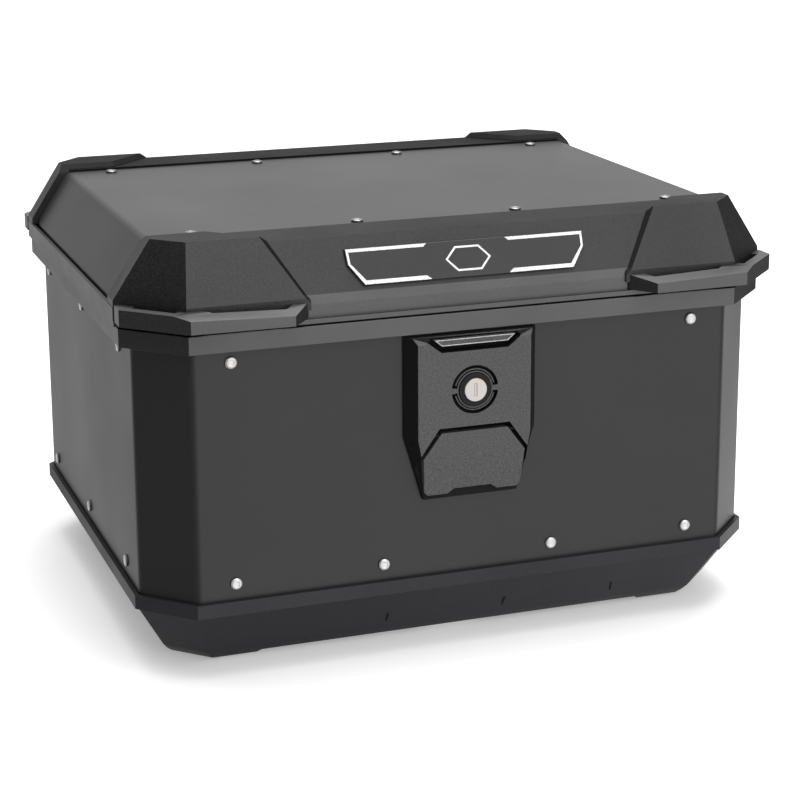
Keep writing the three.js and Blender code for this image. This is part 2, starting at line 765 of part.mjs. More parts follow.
function lidSeal() {
  return cut(
    octagonPrism(RIM_TOP + 0.1, SEAL_TOP - 0.1, 237.8, 194.8, 37.5),
    octagonPrism(RIM_TOP - 1, SEAL_TOP + 1, 233.3, 190.3, 35),
  );
}

function lidStriker() {
  const top = SEAL_TOP + LID_SKIN + 0.1;
  return block(-24, 24, -LEDGE_HALF_Y + LID_SKIN + 0.3, -189.3, top, top + 2.2);
}

// A large block lying on the plane through three points, on the side they run round anticlockwise.
function beyondPlane(a, b, c) {
  const start = new THREE.Vector3(...a);
  const along = new THREE.Vector3(...b).sub(start);
  const normal = along.cross(new THREE.Vector3(...c).sub(start)).normalize();
  const geometry = new THREE.BoxGeometry(600, 600, 200);
  geometry.translate(0, 0, 100);
  geometry.applyQuaternion(new THREE.Quaternion().setFromUnitVectors(new THREE.Vector3(0, 0, 1), normal));
  geometry.translate(...a);
  return toSolid(geometry);
}

// One corner cap is modelled at +X, -Y and mirrored to the other corners.

const CAP_START_X = 118;
const CAP_INNER_Y = PANEL_HALF_Y + 0.9;

function capBlock() {
  const outer = loft([
    octagonLevel(PANEL_EDGE_Z - 3.5, LID_HALF_X - 1, 200.3, 40.5),
    octagonLevel(PANEL_EDGE_Z + 5, LID_HALF_X - 1.4, 200.1, 41),
    octagonLevel(CAP_TOP, 219.5, 180, 20),
  ]);
  const faceLow = [121.7, -198, 271.5];
  const faceHigh = [141.3, -179, 305.7];
  const faceOut = [147, -182, 307.5];
  const browFront = [141.5, -179.2, BROW_Z];
  const browBack = [172, -148.7, BROW_Z];
  const topBack = [177, -150, CAP_TOP];
  return cut(
    outer,
    beyondPlane(faceLow, faceOut, faceHigh),
    beyondPlane(browFront, topBack, browBack),
    beyondPlane([180, -CAP_INNER_Y, PANEL_Z], [180, -149, CAP_TOP], [220, -CAP_INNER_Y, PANEL_Z]),
    block(-260, CAP_START_X, -220, 220, LID_BOTTOM, CAP_TOP + 1),
    block(0, 260, -CAP_INNER_Y, 220, LID_BOTTOM, CAP_TOP + 1),
  );
}

function loopBar() {
  const outer = [
    [119.5, -195],
    [119.5, -198.5],
    [134.4, -LOOP_REACH_Y],
    [206.5, -LOOP_REACH_Y + 1.2],
    [LID_HALF_X - 1.2, -177.5],
    [LID_HALF_X - 1.2, -164],
    [LID_HALF_X - 6, -160],
    [204, -192],
  ];
  const slotFront = prismZ([[130, -199.2], [137.5, -207.2], [189, -206.2], [196, -199.2]], 240, 290);
  const slotSide = prismZ([[209, -195.4], [213, -199.6], [237.4, -175.4], [233.4, -171.2]], 240, 290);
  const slopingTop = beyondPlane([130, -207, 265], [134, -218, 262.5], [206, -206, LOOP_TOP]);
  return cut(prismZ(outer, LOOP_BOTTOM, LOOP_TOP), slotFront, slotSide, slopingTop);
}

function cornerCap() {
  const ledgeHalfX = slopeX(PANEL_EDGE_Z, DOME_INSET) + GAP;
  const ledgeTopHalfX = slopeX(LEDGE_TOP, DOME_INSET) + GAP;
  const browZ = BROW_Z + GAP;
  const ledgeTopHalfY = LEDGE_HALF_Y - LEDGE_LEAN + GAP;
  const behind = loft([
    octagonLevel(LID_BOTTOM - 5, ledgeHalfX, LEDGE_HALF_Y + GAP, LEDGE_CHAMFER),
    octagonLevel(PANEL_EDGE_Z, ledgeHalfX, LEDGE_HALF_Y + GAP, LEDGE_CHAMFER),
    octagonLevel(LEDGE_TOP, ledgeTopHalfX, ledgeTopHalfY, LEDGE_TOP_CHAMFER),
    octagonLevel(browZ, slopeX(browZ, DOME_INSET) + GAP, BROW_HALF_Y + GAP, BROW_CHAMFER),
  ]);
  const rimHalfX = LID_HALF_X - 1 + GAP;
  const rim = octagonPrism(LID_BOTTOM, PANEL_EDGE_Z + GAP, rimHalfX, LEDGE_HALF_Y + GAP, 39.2);
  const lip = octagonPrism(LID_BOTTOM - 2, LIP_TOP + GAP, LID_HALF_X, LIP_HALF_Y + 1, 40);
  return cut(joined(capBlock(), loopBar()), behind, rim, lip);
}

const CORNERS = [
  ['front_right', 1, 1],
  ['front_left', -1, 1],
  ['rear_right', 1, -1],
  ['rear_left', -1, -1],
];

function mirrored(solid, alongX, alongY) {
  let result = solid;
  if (alongX < 0) {
    result = result.mirror([1, 0, 0]);
  }
  if (alongY < 0) {
    result = result.mirror([0, 1, 0]);
  }
  return result;
}

// Front badge plate, left blank, lying on the lid's steep front face.
function badgePlate() {
  const face = { y: -(LEDGE_HALF_Y - 1.5), z: LEDGE_TOP };
  const run = LEDGE_HALF_Y - 1.5 - BROW_HALF_Y;
  const rise = BROW_Z - LEDGE_TOP;
  const length = Math.hypot(run, rise);
  const along = (t, out) => [
    face.y + t * run - (out * rise) / length,
    face.z + t * rise + (out * run) / length,
  ];
  const slab = prismX([along(0, GAP), along(1, GAP), along(1, 1.9), along(0, 1.9)], -100, 100);
  const right = [[78.5, 274.5], [88.8, 288], [89.5, 298]];
  const front = [...right, ...right.map(([x, z]) => [-x, z]).reverse()];
  return prismY(front, -210, -150).intersect(slab);
}

// Hinges

const HINGE_SHEET = 2;
const KNUCKLE_END = 9;

function knuckle(x0, x1) {
  return rodAlong('x', KNUCKLE_R, x0, x1, [HINGE_Y, HINGE_Z], 20);
}

function pinHole() {
  return rodAlong('x', PIN_R + 0.15, -HINGE_HALF - 1, HINGE_HALF + 1, [HINGE_Y, HINGE_Z], 20);
}

function hingeBracket() {
  const plateY = HINGE_Y - KNUCKLE_R;
  const wallY = WALL_HALF_Y + 0.1;
  const under = RIM_BOTTOM - 0.2;
  const half = HINGE_HALF;
  const upright = cut(
    block(-half, half, plateY, plateY + HINGE_SHEET, under - HINGE_SHEET, HINGE_Z),
    block(-KNUCKLE_END, KNUCKLE_END, plateY - 1, HINGE_Z, HINGE_Z - KNUCKLE_R - 1, HINGE_Z + 1),
  );
  const shelf = block(-half, half, wallY, plateY + HINGE_SHEET, under - HINGE_SHEET, under);
  const leg = block(-half, half, wallY, wallY + HINGE_SHEET, 206, under);
  const ends = [knuckle(-half, -KNUCKLE_END), knuckle(KNUCKLE_END, half)];
  return cut(joined(upright, shelf, leg, ...ends), pinHole());
}

function hingeLeaf() {
  const plateY = HINGE_Y - KNUCKLE_R;
  const ledgeY = LEDGE_HALF_Y + GAP;
  const half = HINGE_HALF;
  const low = LIP_TOP + 1.2;
  const tab = block(-KNUCKLE_END + 0.5, KNUCKLE_END - 0.5, plateY, plateY + HINGE_SHEET, HINGE_Z, low + 1);
  const shelf = block(-half, half, ledgeY, plateY + HINGE_SHEET, low, low + HINGE_SHEET);
  const plate = block(-half, half, ledgeY, ledgeY + HINGE_SHEET, low, LEDGE_TOP - 1.5);
  const middle = knuckle(-KNUCKLE_END + 0.5, KNUCKLE_END - 0.5);
  return cut(joined(tab, shelf, plate, middle), pinHole());
}

function hingePin() {
  return joined(
    rodAlong('x', PIN_R, -HINGE_HALF - 2, HINGE_HALF + 2, [HINGE_Y, HINGE_Z], 20),
    rodAlong('x', PIN_R + 1.4, -HINGE_HALF - 2.2, -HINGE_HALF - 0.4, [HINGE_Y, HINGE_Z], 20),
    rodAlong('x', PIN_R + 1.4, HINGE_HALF + 0.4, HINGE_HALF + 2.2, [HINGE_Y, HINGE_Z], 20),
  );
}

// Assembly

addPiece('base_tray', baseTray(), trayPlastic);
addPiece('wall_shell', wallShell(), coatedAluminium);
addPiece('seam_strip', seamStrip(), coatedAluminium);
addPiece('body_rim', bodyRim(), mouldedPlastic);
addPiece('inner_lock_cover', innerLockCover(), mouldedPlastic);
addPiece('lock_housing', lockHousing(), mouldedPlastic);
addPiece('lock_cylinder', lockCylinder(), badgePlastic);
addPiece('lock_barrel', lockBarrel(), plainSteel);
addPiece('lock_cam', lockCam(), plainSteel);
addPiece('latch_flap', latchFlap(), mouldedPlastic);
addPiece('flap_pin', flapPin(), plainSteel);
addPiece('latch_hook', latchHook(), plainSteel);
addPiece('release_button', releaseButton(), mouldedPlastic);
addPiece('release_rod', releaseRod(), plainSteel);
addPiece('rack_catch', rackCatch(), plainSteel);

addPiece('lid_frame', lidFrame(), mouldedPlastic);
addPiece('lid_panel', lidPanel(), lidAluminium);
addPiece('lid_seal', lidSeal(), sealRubber);
addPiece('lid_striker', lidStriker(), plainSteel);
addPiece('badge_plate', badgePlate(), badgePlastic);

const cap = cornerCap();
CORNERS.forEach(([corner, alongX, alongY]) => {
  addPiece(`corner_cap_${corner}`, mirrored(cap, alongX, alongY), grainedPlastic);
});

[['left', -1], ['right', 1]].forEach(([side, sign]) => {
  const centre = sign * HINGE_X;
  addPiece(`hinge_bracket_${side}`, hingeBracket(), plainSteel).position.x = centre;
  addPiece(`hinge_leaf_${side}`, hingeLeaf(), plainSteel).position.x = centre;
  addPiece(`hinge_pin_${side}`, hingePin(), plainSteel).position.x = centre;
});

addRivets(wallRivetPlaces(), 'wall_rivet');
addRivets(lidRivetPlaces(), 'lid_rivet');

export default topCase;
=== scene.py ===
# Looks for the motorcycle top case: materials, fine edges, rivets, badge lines, light and camera.
# Metres, +Z up, the lock faces -Y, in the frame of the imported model.
import json
import math

import bmesh
import bpy
from mathutils import Matrix, Vector


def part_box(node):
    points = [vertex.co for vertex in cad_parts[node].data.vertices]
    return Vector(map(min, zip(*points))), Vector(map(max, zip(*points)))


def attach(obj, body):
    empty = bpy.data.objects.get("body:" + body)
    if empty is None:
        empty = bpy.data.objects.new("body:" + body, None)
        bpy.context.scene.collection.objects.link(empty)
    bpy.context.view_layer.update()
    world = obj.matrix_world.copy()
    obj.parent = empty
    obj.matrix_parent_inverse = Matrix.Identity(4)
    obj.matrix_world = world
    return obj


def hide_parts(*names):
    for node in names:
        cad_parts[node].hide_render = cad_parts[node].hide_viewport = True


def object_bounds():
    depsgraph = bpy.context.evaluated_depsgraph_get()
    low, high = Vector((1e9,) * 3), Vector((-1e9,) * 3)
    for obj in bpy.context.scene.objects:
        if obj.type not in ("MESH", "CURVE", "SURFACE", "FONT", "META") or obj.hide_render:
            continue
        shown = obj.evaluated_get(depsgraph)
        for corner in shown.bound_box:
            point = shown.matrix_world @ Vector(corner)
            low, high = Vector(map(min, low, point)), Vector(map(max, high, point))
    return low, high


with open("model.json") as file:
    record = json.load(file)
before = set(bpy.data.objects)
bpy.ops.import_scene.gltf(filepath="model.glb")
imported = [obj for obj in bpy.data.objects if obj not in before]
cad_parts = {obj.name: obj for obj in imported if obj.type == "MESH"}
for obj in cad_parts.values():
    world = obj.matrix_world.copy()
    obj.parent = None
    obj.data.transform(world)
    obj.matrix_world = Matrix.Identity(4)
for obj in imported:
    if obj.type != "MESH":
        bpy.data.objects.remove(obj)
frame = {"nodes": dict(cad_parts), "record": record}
cad_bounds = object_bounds()

MM = 0.001
nodes = frame["nodes"]

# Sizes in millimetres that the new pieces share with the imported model.
KEY_Z = 194.5
LOCK_FACE_Y = -205.0
SHEET = 1.5
WALL_HALF_X = 235.0
WALL_HALF_Y = 193.0
WALL_CHAMFER = 34.0
LEDGE_TOP = 271.5
LOW_RIVET_Z = 68.2
HIGH_RIVET_Z = 227.8


# ---------------------------------------------------------------- materials

class Recipe:
    """A Principled material whose nodes are added one at a time."""

    def __init__(self, name, color, roughness, metallic=0.0, specular=0.5):
        self.material = bpy.data.materials.new(name)
        self.material.use_nodes = True
        self.tree = self.material.node_tree
        self.shader = self.tree.nodes["Principled BSDF"]
        self.set("Base Color", (*color, 1.0))
        self.set("Roughness", roughness)
        self.set("Metallic", metallic)
        self.set("Specular IOR Level", specular)
        self.color = color
        self.position = self.node("ShaderNodeNewGeometry").outputs["Position"]
        self.last_bump = None

    def set(self, socket, value):
        self.shader.inputs[socket].default_value = value

    def node(self, kind, **inputs):
        made = self.tree.nodes.new(kind)
        for key, value in inputs.items():
            made.inputs[key.replace("_", " ")].default_value = value
        return made

    def link(self, source, target):
        self.tree.links.new(source, target)

    def stretched(self, scale):
        """The surface position, stretched by a factor on each axis."""
        made = self.node("ShaderNodeMapping", Scale=scale)
        self.link(self.position, made.inputs["Vector"])
        return made.outputs["Vector"]

    def noise(self, per_metre, detail=2.0, rough=0.5, vector=None):
        made = self.node("ShaderNodeTexNoise", Scale=per_metre, Detail=detail, Roughness=rough)
        self.link(vector or self.position, made.inputs["Vector"])
        return made.outputs["Fac"]

    def cells(self, per_metre):
        made = self.node("ShaderNodeTexVoronoi", Scale=per_metre)
        self.link(self.position, made.inputs["Vector"])
        return made.outputs["Distance"]

    def remap(self, value, to_low, to_high):
        """The middle of a noise's range, spread from one value to another."""
        made = self.node("ShaderNodeMapRange", From_Min=0.3, From_Max=0.7, To_Min=to_low, To_Max=to_high)
        self.link(value, made.inputs["Value"])
        return made.outputs["Result"]

    def bump(self, height, depth, strength=1.0):
        """Adds a bump of that depth in metres over those added before."""
        made = self.node("ShaderNodeBump", Strength=strength, Distance=depth)
        self.link(height, made.inputs["Height"])
        if self.last_bump:
            self.link(self.last_bump, made.inputs["Normal"])
        self.last_bump = made.outputs["Normal"]
        self.link(self.last_bump, self.shader.inputs["Normal"])

    def vary_roughness(self, value, low, high):
        self.link(self.remap(value, low, high), self.shader.inputs["Roughness"])

    def vary_color(self, value, darker, lighter):
        mix = self.tree.nodes.new("ShaderNodeMix")
        mix.data_type = "RGBA"
        mix.inputs[6].default_value = (*[c * darker for c in self.color], 1.0)
        mix.inputs[7].default_value = (*[c * lighter for c in self.color], 1.0)
        self.link(self.remap(value, 0.0, 1.0), mix.inputs[0])
        self.link(mix.outputs[2], self.shader.inputs["Base Color"])


def coated_sheet(name, color, roughness, streaks):
    """Powder-coated aluminium: a fine orange peel, faint rolling streaks and soft cloudy gloss."""
    m = Recipe(name, color, roughness)
    cloud = m.noise(7.0, detail=3.0)
    speck = m.noise(2600.0, detail=1.0)
    grain = m.noise(900.0, detail=2.0)
    rolling = m.noise(420.0, detail=3.0, vector=m.stretched((0.03, 1.0, 1.0)))
    m.vary_color(speck, 0.85, 1.15)
    m.vary_roughness(cloud, roughness - 0.03, roughness + 0.04)
    m.bump(grain, 0.02 * MM, 0.5)
    m.bump(rolling, streaks * MM, 0.6)
    return m.material


def moulded(name, color, roughness, grain_per_metre, grain_depth, specular=0.5, ior=1.5):
    """Moulded plastic: an eroded tool texture, slight colour mottling and uneven sheen."""
    m = Recipe(name, color, roughness, specular=specular)
    m.set("IOR", ior)
    cloud = m.noise(14.0, detail=4.0)
    fine = m.noise(grain_per_metre, detail=3.0, rough=0.6)
    pits = m.cells(grain_per_metre * 0.8)
    m.vary_color(fine, 0.55, 1.5)
    m.vary_roughness(cloud, roughness - 0.05, roughness + 0.07)
    m.bump(fine, grain_depth * MM, 0.8)
    m.bump(pits, grain_depth * 0.6 * MM, 0.5)
    return m.material


def bare_metal(name, color, roughness):
    """Bare metal with fine tumbling marks."""
    m = Recipe(name, color, roughness, metallic=0.7)
    marks = m.noise(1500.0, detail=4.0, rough=0.7)
    m.vary_color(marks, 0.92, 1.04)
    m.vary_roughness(marks, roughness - 0.06, roughness + 0.08)
    m.bump(marks, 0.02 * MM, 0.5)
    return m.material


def rubber(name, color):
    """Dull rubber or unlit plastic with a fine skin."""
    m = Recipe(name, color, 0.8, specular=0.3)
    skin = m.noise(1200.0, detail=3.0)
    m.vary_roughness(skin, 0.72, 0.88)
    m.bump(skin, 0.05 * MM, 0.6)
    return m.material


def grey(value):
    return (value, value, value)


# Each look's kind, colour, roughness and what else the kind takes: the depth of the streaks for
# coated_sheet, and for moulded the grain per metre, its depth, the specular level and the IOR.
LOOKS = {
    "coated_sheet": (coated_sheet, (0.016, 0.016, 0.0163), 0.4, 0.004),
    "lid_sheet": (coated_sheet, grey(0.032), 0.4, 0.02),
    "case_plastic": (moulded, grey(0.032), 0.46, 1500.0, 0.03, 1.0, 1.55),
    "grained_plastic": (moulded, grey(0.014), 0.44, 700.0, 0.3, 0.55),
    "tray_plastic": (moulded, (0.02, 0.02, 0.0235), 0.5, 1100.0, 0.02, 0.35),
    "badge_gloss": (moulded, grey(0.015), 0.4, 1600.0, 0.006),
    "collar_plastic": (moulded, grey(0.008), 0.4, 1400.0, 0.01, 0.2),
    "lock_plastic": (moulded, grey(0.06), 0.5, 800.0, 0.22),
    "brow_plastic": (moulded, grey(0.013), 0.6, 800.0, 0.16, 0.25),
    # case_shade and shade_plastic are darker copies of the plastics, used as painted shade.
    "case_shade": (moulded, grey(0.022), 0.6, 1500.0, 0.03, 0.05),
    "cap_shade": (moulded, grey(0.017), 0.55, 700.0, 0.3, 0.08),
    "shade_plastic": (moulded, grey(0.006), 0.6, 800.0, 0.16, 0.12),
    "deep_black": (rubber, grey(0.006)),
    "seal_rubber": (rubber, grey(0.012)),
    "key_metal": (bare_metal, (0.64, 0.6, 0.58), 0.45),
    "rivet_metal": (bare_metal, (0.76, 0.75, 0.74), 0.36),
    # The next look is a darker copy of the rivet metal: painted shade on the lid's rivet heads.
    "lid_rivet": (bare_metal, grey(0.3), 0.3),
    # The next look is dark metal for the sides of the rivet heads: painted shade round each head.
    "rivet_side": (bare_metal, grey(0.09), 0.4),
    "steel": (bare_metal, grey(0.5), 0.38),
    "hinge_steel": (coated_sheet, grey(0.02), 0.45, 0.004),
    "pale_print": (moulded, grey(0.8), 0.5, 1500.0, 0.01),
    # The next look is a pale line: painted highlight along the release button's edge.
    "edge_print": (moulded, grey(0.45), 0.45, 1500.0, 0.01),
}
MATERIALS = {name: kind(name, *values) for name, (kind, *values) in LOOKS.items()}


def finish_with(obj, slot, look=None):
    """Gives the piece the material of the record's slot, or of another look if one is named."""
    obj.data.materials.clear()
    obj.data.materials.append(MATERIALS[look or slot])


def second_finish(obj, look, chosen):
    """Gives another material to the faces whose centre and normal, in millimetres, are chosen."""
    obj.data.materials.append(MATERIALS[look])
    index = len(obj.data.materials) - 1
    turn = obj.matrix_world
    for face in obj.data.polygons:
        centre = turn @ face.center / MM
        normal = (turn.to_3x3() @ face.normal).normalized()
        if chosen(centre, normal):
            face.material_index = index


# ---------------------------------------------------------------- CAD nodes

# Edge radius in millimetres, by the start of a node's name. The other nodes have the plain radius.
EDGE_RADIUS = {
    "base_tray": 1.6,
    "body_rim": 1.3,
    "lid_frame": 1.2,
    "corner_cap": 1.5,
    "lock_housing": 0.7,
    "latch_flap": 0.7,
    "release_button": 0.5,
    "badge_plate": 0.4,
}
PLAIN_RADIUS = 0.4


def soften(obj, radius, angle):
    """Joins coplanar facets, then rounds the sharp edges of a faceted solid."""
    if "custom_normal" in obj.data.attributes:
        obj.data.attributes.remove(obj.data.attributes["custom_normal"])
    weld = obj.modifiers.new("weld", "WELD")
    weld.merge_threshold = 0.00002
    flat = obj.modifiers.new("flat", "DECIMATE")
    flat.decimate_type = "DISSOLVE"
    flat.angle_limit = math.radians(0.6)
    flat.delimit = {"MATERIAL"}
    bevel = obj.modifiers.new("edges", "BEVEL")
    bevel.width = radius * MM
    bevel.segments = 3
    bevel.limit_method = "ANGLE"
    bevel.angle_limit = math.radians(angle)
    bevel.harden_normals = True
    bevel.use_clamp_overlap = True
    for face in obj.data.polygons:
        face.use_smooth = True


SLOT_OF = {entry["node"]: entry["material_slot"] for entry in frame["record"]["subparts"]}
LOOK_OF = {
    "flap_pin": "deep_black",
    "lid_frame": "grained_plastic",
    "lock_housing": "lock_plastic",
    "latch_flap": "lock_plastic",
    "release_button": "lock_plastic",
}


def dress_nodes():
    for name, obj in nodes.items():
        radius = next((r for key, r in EDGE_RADIUS.items() if name.startswith(key)), PLAIN_RADIUS)
        finish_with(obj, SLOT_OF[name], LOOK_OF.get(name))
        soften(obj, radius, 10 if name == "lid_frame" else 19.5)


def in_guard_trench(centre, normal):
    reach = math.hypot(centre.x, centre.z - KEY_Z)
    return centre.y > LOCK_FACE_Y + 0.4 and 12.0 < reach < 18.2


def in_flap_pocket(centre, normal):
    return centre.y > LOCK_FACE_Y + 1.0 and abs(centre.x) < 46.2 and centre.z < 168.2


def in_button_recess(centre, normal):
    return centre.y > LOCK_FACE_Y + 0.4 and abs(centre.x) < 38 and 221 < centre.z < 234


def on_lock_side(centre, normal):
    return abs(normal.x) > 0.7 and abs(centre.x) > 43


def on_lid_ledge(centre, normal):
    return centre.z < LEDGE_TOP and abs(normal.z) < 0.4


def on_brow(centre, normal):
    return normal.z > 0.85 and centre.z > 300


def on_rear_brow(centre, normal):
    """The tops behind, and the slopes that face the lid's cover from there."""
    return centre.z > 300 and centre.y > 130 and (normal.z > 0.85 or normal.y < -0.2)


def on_corner_facet(centre, normal):
    return abs(normal.x) > 0.5 and abs(normal.y) > 0.5


def on_low_corner_facet(centre, normal):
    return on_corner_facet(centre, normal) and centre.z < LEDGE_TOP


def towards_middle(centre, normal):
    return abs(normal.x) > 0.45 and normal.x * centre.x < 0 and centre.z > 270


def on_tie_loop(centre, normal):
    outside = abs(centre.y) > 204 or abs(centre.x) + abs(centre.y) > 412
    return outside and centre.z < 269.5


def on_loop_facet(centre, normal):
    return on_tie_loop(centre, normal) and on_corner_facet(centre, normal)


dress_nodes()
# Faces inside the key guard's trench, the flap's pocket and the button's recess get near-black: painted
# shade in these hollows.
second_finish(nodes["lock_housing"], "deep_black", in_guard_trench)
second_finish(nodes["lock_housing"], "deep_black", in_flap_pocket)
second_finish(nodes["lock_housing"], "deep_black", in_button_recess)
# The lock's flat sides get the collar's near-black plastic as painted shade.
second_finish(nodes["lock_housing"], "collar_plastic", on_lock_side)
second_finish(nodes["lid_frame"], "case_plastic", on_lid_ledge)
# The corner facets of the lid frame's lower part and of the body rim get case_shade, a darker copy of the
# plastic: painted shade.
second_finish(nodes["lid_frame"], "case_shade", on_low_corner_facet)
second_finish(nodes["body_rim"], "case_shade", on_corner_facet)
second_finish(nodes["lid_frame"], "brow_plastic", on_brow)
# The rear tops and the slopes facing the cover get shade_plastic: painted shade.
second_finish(nodes["lid_frame"], "shade_plastic", on_rear_brow)
# On the caps, shade_plastic on the rear tops and slopes and on the sides facing the middle, and case_shade
# on the tie loops' corner facets, are painted shade.
for name in nodes:
    if name.startswith("corner_cap"):
        second_finish(nodes[name], "brow_plastic", on_brow)
        second_finish(nodes[name], "shade_plastic", on_rear_brow)
        second_finish(nodes[name], "cap_shade", on_corner_facet)
        second_finish(nodes[name], "shade_plastic", towards_middle)
        second_finish(nodes[name], "case_plastic", on_tie_loop)
        second_finish(nodes[name], "case_shade", on_loop_facet)


# ---------------------------------------------------------------- building new pieces

def mesh_piece(name, points, faces, slot, look, body, smooth=True):
    """A closed mesh in the row frame, given in millimetres, that moves with a body."""
    mesh = bpy.data.meshes.new(name)
    mesh.from_pydata([[c * MM for c in p] for p in points], [], faces)
    mesh.validate()
    shell = bmesh.new()
    shell.from_mesh(mesh)
    bmesh.ops.recalc_face_normals(shell, faces=shell.faces)
    shell.to_mesh(mesh)
    shell.free()
    obj = bpy.data.objects.new(name, mesh)
    bpy.context.scene.collection.objects.link(obj)
    finish_with(obj, slot, look)
    for face in mesh.polygons:
        face.use_smooth = smooth
    if smooth:
        split = obj.modifiers.new("split", "EDGE_SPLIT")
        split.split_angle = math.radians(35)
    if body:
        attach(obj, body)
    return obj


def lathed(profile, at, out, segments=48):
    """Points and faces of a profile of (radius, height) pairs turned about the axis out, from at."""
    axis = Vector(out).normalized()
    side = axis.orthogonal().normalized()
    third = axis.cross(side)
    points = []
    rings = []
    for radius, height in profile:
        centre = Vector(at) + axis * height
        if radius == 0:
            rings.append([len(points)] * segments)
            points.append(centre)
            continue
        rings.append(list(range(len(points), len(points) + segments)))
        for i in range(segments):
            angle = 2 * math.pi * i / segments
            points.append(centre + radius * (math.cos(angle) * side + math.sin(angle) * third))
    faces = []
    for low, high in zip(rings, rings[1:]):
        for i in range(segments):
            j = (i + 1) % segments
            loop = [low[i], low[j], high[j], high[i]]
            faces.append([v for k, v in enumerate(loop) if v != loop[k - 1]])
    return points, faces


RIVET_HEAD = 2.2
RIVET_PROFILE = [
    (0, -3.1), (2.15, -3.1), (2.15, 0.06), (4.2, 0.06), (4.35, 0.25), (4.35, 0.7), (4.2, 1.15),
    (3.85, 1.55), (3.35, 1.85), (2.8, 2.02), (2.4, 2.05), (2.2, 1.98), (2.0, 1.84), (1.5, 1.78), (0, 1.76),
]


REAR_RIVETS = [
    (-173.7, LOW_RIVET_Z), (-64.6, LOW_RIVET_Z), (64.6, LOW_RIVET_Z), (173.7, LOW_RIVET_Z),
    (-173.7, HIGH_RIVET_Z), (173.7, HIGH_RIVET_Z),
]


def add_rivet(name, at, out, body, replaced=None):
    points, faces = lathed(RIVET_PROFILE, at, out)
    # Rivet heads on the lid get the darker rivet metal: painted shade.
    look = "lid_rivet" if body == "lid" else None
    head = mesh_piece(name + "_turned", points, faces, "rivet_metal", look, body)
    axis = Vector(out)
    # The sides of each head get dark metal: painted shade.
    second_finish(head, "rivet_side", lambda centre, normal: abs(normal.dot(axis)) < 0.6)
    if replaced:
        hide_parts(replaced)


def rivet_place(name):
    """(point on the sheet, outward direction) in millimetres of one of the CAD's rivets."""
    low, high = (Vector(corner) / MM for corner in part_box(name))
    centre = (low + high) / 2
    size = high - low
    axis = min(range(3), key=lambda k: size[k])
    sign = 1 if centre[axis] > 0 else -1
    out = Vector([0, 0, 0])
    out[axis] = sign
    at = centre.copy()
    at[axis] = (high[axis] if sign > 0 else low[axis]) - sign * RIVET_HEAD
    return at, out


def add_rivets():
    for name in nodes:
        if "_rivet_" in name:
            at, out = rivet_place(name)
            add_rivet(name, at, out, "lid" if name.startswith("lid") else "case", name)
    for i, (x, z) in enumerate(REAR_RIVETS):
        add_rivet("rear_rivet_%d" % (i + 1), (x, WALL_HALF_Y, z), (0, 1, 0), "case")


def rounded_path(corners, radius, steps=8):
    """Points and outward normals along an open path with its corners rounded; it runs clockwise."""
    made = []
    count = len(corners)
    for i in range(count):
        here = Vector(corners[i])
        if i in (0, count - 1):
            other = Vector(corners[1] if i == 0 else corners[-2])
            along = (other - here).normalized() * (1 if i == 0 else -1)
            made.append((here, Vector((-along.y, along.x))))
            continue
        back = (Vector(corners[i - 1]) - here).normalized()
        ahead = (Vector(corners[i + 1]) - here).normalized()
        half = back.angle(ahead) / 2
        centre = here + (back + ahead).normalized() * radius / math.sin(half)
        start = Vector((back.y, -back.x))
        end = Vector((-ahead.y, ahead.x))
        for k in range(steps + 1):
            t = k / steps
            turn = start.angle(end)
            n = (start * math.sin((1 - t) * turn) + end * math.sin(t * turn)) / math.sin(turn)
            made.append((centre + n * radius, n))
    return made


def sheet_mesh(rows, windows=()):
    """Points and faces of a sheet from rows of (outer points, inner points).

    A window (row, band) leaves out the cell between that row and the next, in that band across.
    """
    across = len(rows[0][0])
    points = []
    for outer, inner in rows:
        points += outer + inner
    stride = 2 * across
    faces = []
    for r in range(len(rows) - 1):
        a = r * stride
        b = a + stride
        for k in range(across - 1):
            outer = [a + k, b + k, b + k + 1, a + k + 1]
            inner = [v + across for v in outer]
            if (r, k) in windows:
                faces += [[outer[i - 1], outer[i], inner[i], inner[i - 1]] for i in range(4)]
            else:
                faces += [outer, inner[::-1]]
        faces.append([a + across - 1, b + across - 1, b + stride - 1, a + stride - 1])
        faces.append([a + across, b + across, b, a])
    for a in (0, (len(rows) - 1) * stride):
        for k in range(across - 1):
            faces.append([a + k, a + k + 1, a + across + k + 1, a + across + k])
    return points, faces


# Half width of the passages behind the lock, and the wall's levels: foot, passages, top.
BEND_RADIUS = 9.0
LOCK_WAY = 12.6
WALL_LEVELS = [48.0, KEY_Z - LOCK_WAY, KEY_Z + LOCK_WAY, 227.6, 232.8, 247.0]


def add_wall():
    """The folded wall sheet with its bends rounded, open at the seam behind."""
    x, y, c = WALL_HALF_X, WALL_HALF_Y, WALL_CHAMFER
    corners = [
        (0.25, y), (x - c, y), (x, y - c), (x, c - y), (x - c, -y),
        (c - x, -y), (-x, c - y), (-x, y - c), (c - x, y), (-0.25, y),
    ]
    path = rounded_path(corners, BEND_RADIUS)
    front = next(i for i, (p, n) in enumerate(path) if p.x < 0 and p.y < 0)
    path[front:front] = [(Vector((side, -y)), Vector((0, -1))) for side in (LOCK_WAY, -LOCK_WAY)]
    rows = []
    for p, n in path:
        q = p - n * SHEET
        rows.append(([(p.x, p.y, z) for z in WALL_LEVELS], [(q.x, q.y, z) for z in WALL_LEVELS]))
    points, faces = sheet_mesh(rows, windows=[(front, 1), (front, 3)])
    wall = mesh_piece("wall_bent", points, faces, "coated_sheet", None, "case")
    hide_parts("wall_shell")


